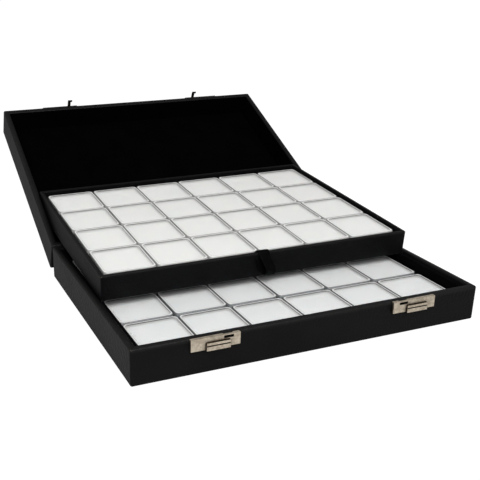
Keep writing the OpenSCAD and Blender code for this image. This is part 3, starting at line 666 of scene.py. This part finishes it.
def ribbon_pull():
    """Flat band carried along a path in the tray's Y and Z, moved along X by lean and turned about the path
    by twist; its section is a flat oval, hollowed by 0.2 mm. What hangs in front stays off the tray's
    face."""
    front = -tray_d / 2
    strap = moved(points_of("ribbon_pull"), AT_TRAY.inverted())
    strap = strap[strap[:, 1] > front + 1 * MM][:, 0]
    middle, width, thick = (strap.min() + strap.max()) / 2, np.ptp(strap) - 0.4 * MM, 0.6 * MM
    wall = TRAY_WALL / MM
    # Up from inside the wall, over the rim, down the front, round the loop and back up behind it.
    # Each row: mm behind the front face, mm over the rim, mm to the right, and the twist in radians
    route = smooth_path(np.array([
        [wall + 0.45, -7.6, 0, 0], [wall + 0.45, -4, 0, 0], [wall + 0.35, -0.6, 0, 0],
        [wall - 0.6, 0.9, 0, 0], [1.2, 1.4, 0.2, 0], [-0.5, 0.9, 0.4, 0.05], [-1.4, -1.4, 1.2, 0.1],
        [-2.3, -5.2, 2.6, 0.2], [-3.1, -9.4, 4.6, 0.3], [-3.3, -13.4, 6.2, 0.25],
        [-2.7, -16.8, 6.0, 0.05], [-1.6, -17.6, 4.6, -0.15], [-0.8, -15, 2.4, -0.3],
        [-0.65, -10.5, 0.4, -0.2], [-0.55, -5.2, -0.9, -0.1],
    ]) * [MM, MM, MM, 1] + [front, tray_h, middle, 0], 110)
    path, lean, twist = route[:, :2], route[:, 2:3], route[:, 3:4]
    along = np.gradient(path, axis=0)
    along /= np.linalg.norm(along, axis=1)[:, None]
    # The section's two rows: how far across, and how far off the middle, as shares of half its size
    share = np.array([-1, -0.96, -0.85, -0.4, 0, 0.4, 0.85, 0.96, 1, 0.96, 0.85, 0.4, 0, -0.4, -0.85, -0.96])
    off = np.array([0, 0.7, 1, 1, 1, 1, 1, 0.7, 0, -0.7, -1, -1, -1, -1, -1, -0.7]) * thick / 2
    across = share * width / 2
    out = off + share ** 2 * 0.2 * MM + across * np.sin(twist)
    x = lean + across * np.cos(twist)
    y = path[:, 0:1] - along[:, 1:2] * out
    z = path[:, 1:2] + along[:, 0:1] * out
    hanging = (z < tray_h - 0.5 * MM) & (path[:, 0:1] < front)
    y = np.where(hanging, np.minimum(y, front - 0.25 * MM + off * 0.3), y)
    points = np.stack([x, y, z], -1)
    quads, caps = ring_faces(*points.shape[:2], False)
    faces = [*quads[:, ::-1], *(cap[::-1] for cap in caps)]
    band = piece("pull_ribbon", moved(points, AT_TRAY), faces, SATIN, "tray", 60)
    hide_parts("ribbon_pull")


ribbon_pull()


# Jars

def jar_places(place, level, columns, rows):
    """Where each jar of a level stands, as matrices in the level's frame, and whether it is the sample,
    read from the lids' corners: the turn is the angle of the mean of (x + iy)^4, which a square's corners
    share. The sample's own box gives the pitch, less a little because it may be turned."""
    sample = moved(points_of(f"{level}_sample_lid"), place.inverted())
    local = moved(points_of(f"{level}_jar_lids", f"{level}_sample_lid"), place.inverted())[:, :2]
    low, high = local.min(0), local.max(0)
    count = np.array([columns, rows])
    wide = np.ptp(sample[:, 0]) - 0.1 * MM
    gap = (high - low - count * wide) / (count - 1)
    pitch = wide + gap
    cell = np.clip(np.floor((local - low + gap / 2) / pitch), 0, count - 1)
    found = []
    for column, row in np.ndindex(columns, rows):
        mine = local[(cell == (column, row)).all(1)]
        middle = (mine.min(0) + mine.max(0)) / 2
        flat = (mine - middle) @ [1, 1j]
        turn = np.angle(-np.mean(flat ** 4)) / 4
        spot = Matrix.Translation((*middle, 0)) @ Matrix.Rotation(turn, 4, "Z")
        found.append((spot, (np.abs(middle - sample.mean(0)[:2]) < pitch / 2).all()))
    return found


def jar_part(profile, width, radius, bare=0):
    """A round-cornered square part turned up from its profile of insets and heights.
    Its UV's Y is the inset, or a place past every band for the first bare rings."""
    shape = outline(7, np.array([]), np.array([]))
    points = rings(shape, width, width, profile, radius)
    quads, caps = ring_faces(len(profile), points.shape[1], False)
    inset = np.where(np.arange(len(profile)) < bare, 10 * MM, profile[:, 0])
    uv = np.stack([np.zeros(points.shape[:2]), np.broadcast_to(inset[:, None], points.shape[:2])], -1)
    return points.reshape(-1, 3), [*quads, *caps], uv.reshape(-1, 2)


def lid_profile(width, skirt, top):
    """A jar lid's insets, heights and least corner radii: out under its plate, down inside the skirt, round
    the skirt's lower edge, up, over the rounded upper edge, and back across the top."""
    middle = width / 2 / MM - 0.5
    round_r = 0.55
    bend = arc(round_r, -round_r, round_r, 180, 90, 4)
    return np.concatenate([
        rows_at(top, [middle, -0.9, 0], [6, -0.9, 0], [1.2, -0.9, 0], [0.75, -1.3, 0]),
        rows_at(skirt, [0.7, 0.3, 0], [0.6, 0, 0], [0.15, 0, 0], [0, 0.15, 0]),
        rows_at(top, *([*point, 0] for point in bend)),
        rows_at(top, [0.75, 0, 3.2], [1.1, 0, 3.6], [1.6, 0, 3.6], [2.1, 0, 3.5], [6, 0, 2],
                [middle, 0, 0])])


def cup_profile(width, low, high):
    """A jar cup's insets and heights: out under its bottom, round the lower edge, up, over the rim, down
    inside, and across its floor."""
    middle = width / 2 / MM - 0.5
    round_r = 0.8
    return np.concatenate([
        rows_at(low, [middle, 0], [5, 0], *arc(round_r, round_r, round_r, 270, 180, 4)),
        rows_at(high, [0, -0.2], [0.15, 0], [0.6, 0], [0.7, -0.2]),
        rows_at(low, [0.72, 1.5], [1.2, 0.9], [middle, 0.9])])


def foam_profile(width, low, high):
    """A foam block's insets and heights: out under it, round its soft lower edge, up, and over its round
    upper edge to a top that is crowned by 0.25 mm."""
    middle = width / 2 / MM - 0.5
    soft, lift, crown = 1.0, 0.01, 0.25
    return np.concatenate([
        rows_at(low, [middle, lift], *arc(soft / 2, soft / 2, soft / 2 - lift, 270, 180, 2)),
        rows_at(high, *arc(soft, -crown - soft, soft, 180, 90, 4)),
        rows_at(high, [3, -0.14], [7, -0.05], [12, 0], [middle, 0])])


def jars(level, place, lid_made, foam_made, body):
    """Clear boxes with a foam block in each: a cup, a lid whose skirt goes over it, and the foam's soft top.
    The sample jar is a body of its own, and so is its lid."""
    spots = jar_places(place, level, 6, 4)
    own = place @ next(spot for spot, is_sample in spots if is_sample)
    box = {kind: span_in(own, f"{level}_sample_{kind}") for kind in ("lid", "cup", "foam")}
    # Each part's own width, to a hundredth of a millimetre
    lid_w, cup_w, foam_w = (round(high[0] - low[0], 5) for low, high in box.values())
    heights = {kind: (low[2], high[2]) for kind, (low, high) in box.items()}
    lid = jar_part(lid_profile(lid_w, *heights["lid"]), lid_w, 3 * MM, 5)
    cup = jar_part(cup_profile(cup_w, *heights["cup"]), cup_w, 2.2 * MM)
    foam = jar_part(foam_profile(foam_w, *heights["foam"]), foam_w - 0.1 * MM, 3.4 * MM)
    jar_body = f"{level}_sample_jar"
    for kind, (points, faces, uv), made, ending, slot_name, sample_body in (
            ("lid", lid, lid_made, "clear", "clear_plastic", f"{jar_body}_lid"),
            ("cup", cup, CLEAR_CUP, "clear", "clear_plastic", jar_body),
            ("foam", foam, foam_made, "block", "foam", jar_body)):
        for alone in (False, True):
            places = [place @ spot for spot, is_sample in spots if is_sample == alone]
            every = np.concatenate([moved(points, spot) for spot in places])
            all_faces = [face + k * len(points) for k in range(len(places)) for face in faces]
            name = f"{level}_sample_{kind}_{ending}" if alone else f"{level}_{kind}s_{ending}"
            part = piece(name, every, all_faces, made, sample_body if alone else body, 40,
                         np.tile(uv, (len(places), 1)))
            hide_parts(f"{level}_sample_{kind}" if alone else f"{level}_jar_{kind}s")


jars("upper", AT_TRAY, CLEAR, FOAM, "tray")
jars("lower", AT_BASE, CLEAR_LOW, LOW_FOAM, "base")


# Carried-over parts

def dressed(node_name, made, bevel_mm=0.0, segments=2):
    """A CAD node with its material, and its sharp edges softened by bevel_mm."""
    node = NODES[node_name]
    node.data.materials.clear()
    node.data.materials.append(made)
    if bevel_mm:
        weld = node.modifiers.new("Weld", "WELD")
        weld.merge_threshold = 0.01 * MM
        soften = node.modifiers.new("Bevel", "BEVEL")
        soften.width = bevel_mm * MM
        soften.segments = segments
        soften.limit_method = "ANGLE"
        soften.angle_limit = math.radians(40)
        soften.harden_normals = True


for name in NODES:
    if name.endswith("_board"):
        dressed(name, BOARD)
dressed("base_underside_sheet", PAPER)
for side in ("left", "right"):
    dressed(f"{side}_catch_housing", NICKEL, 0.18, 3)
    dressed(f"{side}_catch_slider", NICKEL, 0.2, 3)
    dressed(f"{side}_hook_plate", SHADED_HOOK_NICKEL, 0.12)
    dressed(f"{side}_hinge_base_leaf", NICKEL_DARK, 0.12)
    dressed(f"{side}_hinge_lid_leaf", NICKEL_DARK, 0.12)
    dressed(f"{side}_hinge_pin", STEEL, 0.1)
dressed("hinge_base_nails", STEEL)
dressed("hinge_lid_nails", STEEL)
# The solids that a new piece stands for are hidden, and get a finish of their kind all the same
for name in ("base_wrap", "lid_wrap", "tray_wrap"):
    dressed(name, LEATHER)
for name in ("base_floor_velvet", "tray_floor_velvet", "base_front_liner", "base_back_liner",
             "base_left_liner", "base_right_liner", "lid_pad_velvet", "lid_wall_lining"):
    dressed(name, VELVET)
dressed("lid_pad_foam", PAD_FOAM)
dressed("ribbon_pull", SATIN)
for level in ("upper", "lower"):
    for name in (f"{level}_jar_lids", f"{level}_jar_cups", f"{level}_sample_lid", f"{level}_sample_cup"):
        dressed(name, CLEAR_CUP)
    for name in (f"{level}_jar_foams", f"{level}_sample_foam"):
        dressed(name, FOAM)


# Studio

def white_floor():
    """A wide pale floor. The camera sees nine tenths white glow, which hides the shadow, as in the
    photograph; every other ray sees a matt grey floor, so that it adds little light to the object."""
    half = 4.0
    corners = [(-half, -half, 0), (half, -half, 0), (half, half, 0), (-half, half, 0)]
    mesh = bpy.data.meshes.new("floor")
    mesh.from_pydata(corners, [], [(0, 1, 2, 3)])
    floor = bpy.data.objects.new("floor", mesh)
    bpy.context.scene.collection.objects.link(floor)
    made, tree, shader = material(
        "white floor", Roughness=0.9, Specular_IOR_Level=0.1, Base_Color=colour("#b0b0b0"))
    glow = add(tree, "ShaderNodeEmission", {"Color": WHITE, "Strength": 1.12})
    seen = add(tree, "ShaderNodeLightPath", out="Is Camera Ray")
    share = add(tree, "ShaderNodeMath", {0: seen, 1: 0.9}, operation="MULTIPLY")
    both = add(tree, "ShaderNodeMixShader", {0: share, 1: shader.outputs[0], 2: glow})
    feed(tree, tree.nodes["Material Output"], {"Surface": both})
    mesh.materials.append(made)


def white_world():
    """Even light from all round, and plain white where the camera looks past the floor."""
    world = bpy.data.worlds.new("studio")
    bpy.context.scene.world = world
    world.use_nodes = True
    tree = world.node_tree
    seen = add(tree, "ShaderNodeLightPath", out="Is Camera Ray")
    strength = add(tree, "ShaderNodeMapRange", {"Value": seen, "To Min": 0.36, "To Max": 1.0})
    feed(tree, tree.nodes["Background"], {"Color": WHITE, "Strength": strength})


def lamp(name, place, target, size, power):
    """A square white soft box at place that faces target."""
    light = bpy.data.lights.new(name, "AREA")
    light.size = size
    light.energy = power
    lamp_object = bpy.data.objects.new(name, light)
    lamp_object.location = place
    lamp_object.rotation_euler = (Vector(target) - Vector(place)).to_track_quat("-Z", "Y").to_euler()
    bpy.context.scene.collection.objects.link(lamp_object)


white_floor()
white_world()
lamp("front", (-0.35, -1.5, 1.35), (0, 0.05, 0), 1.5, 64)
lamp("left", (-1.5, 0.1, 0.7), (0, 0.05, 0.05), 0.9, 6)


# Camera: solved from the photograph over the case's corners and edges, its lens then 0.6 per cent longer

camera_data = bpy.data.cameras.new("camera")
camera_data.sensor_width = 36
camera_data.lens = 59.95
camera_data.shift_x = 0.14997
camera_data.shift_y = 0.0314
camera_data.clip_start = 0.01
camera = bpy.data.objects.new("camera", camera_data)
camera.location = (-0.267198, -0.497403, 0.251725)
camera.rotation_euler = (math.radians(90 - 21.169), 0, math.radians(-21.8))
bpy.context.scene.collection.objects.link(camera)
bpy.context.scene.camera = camera

bpy.context.scene.view_settings.view_transform = "Standard"

bpy.context.view_layer.update()
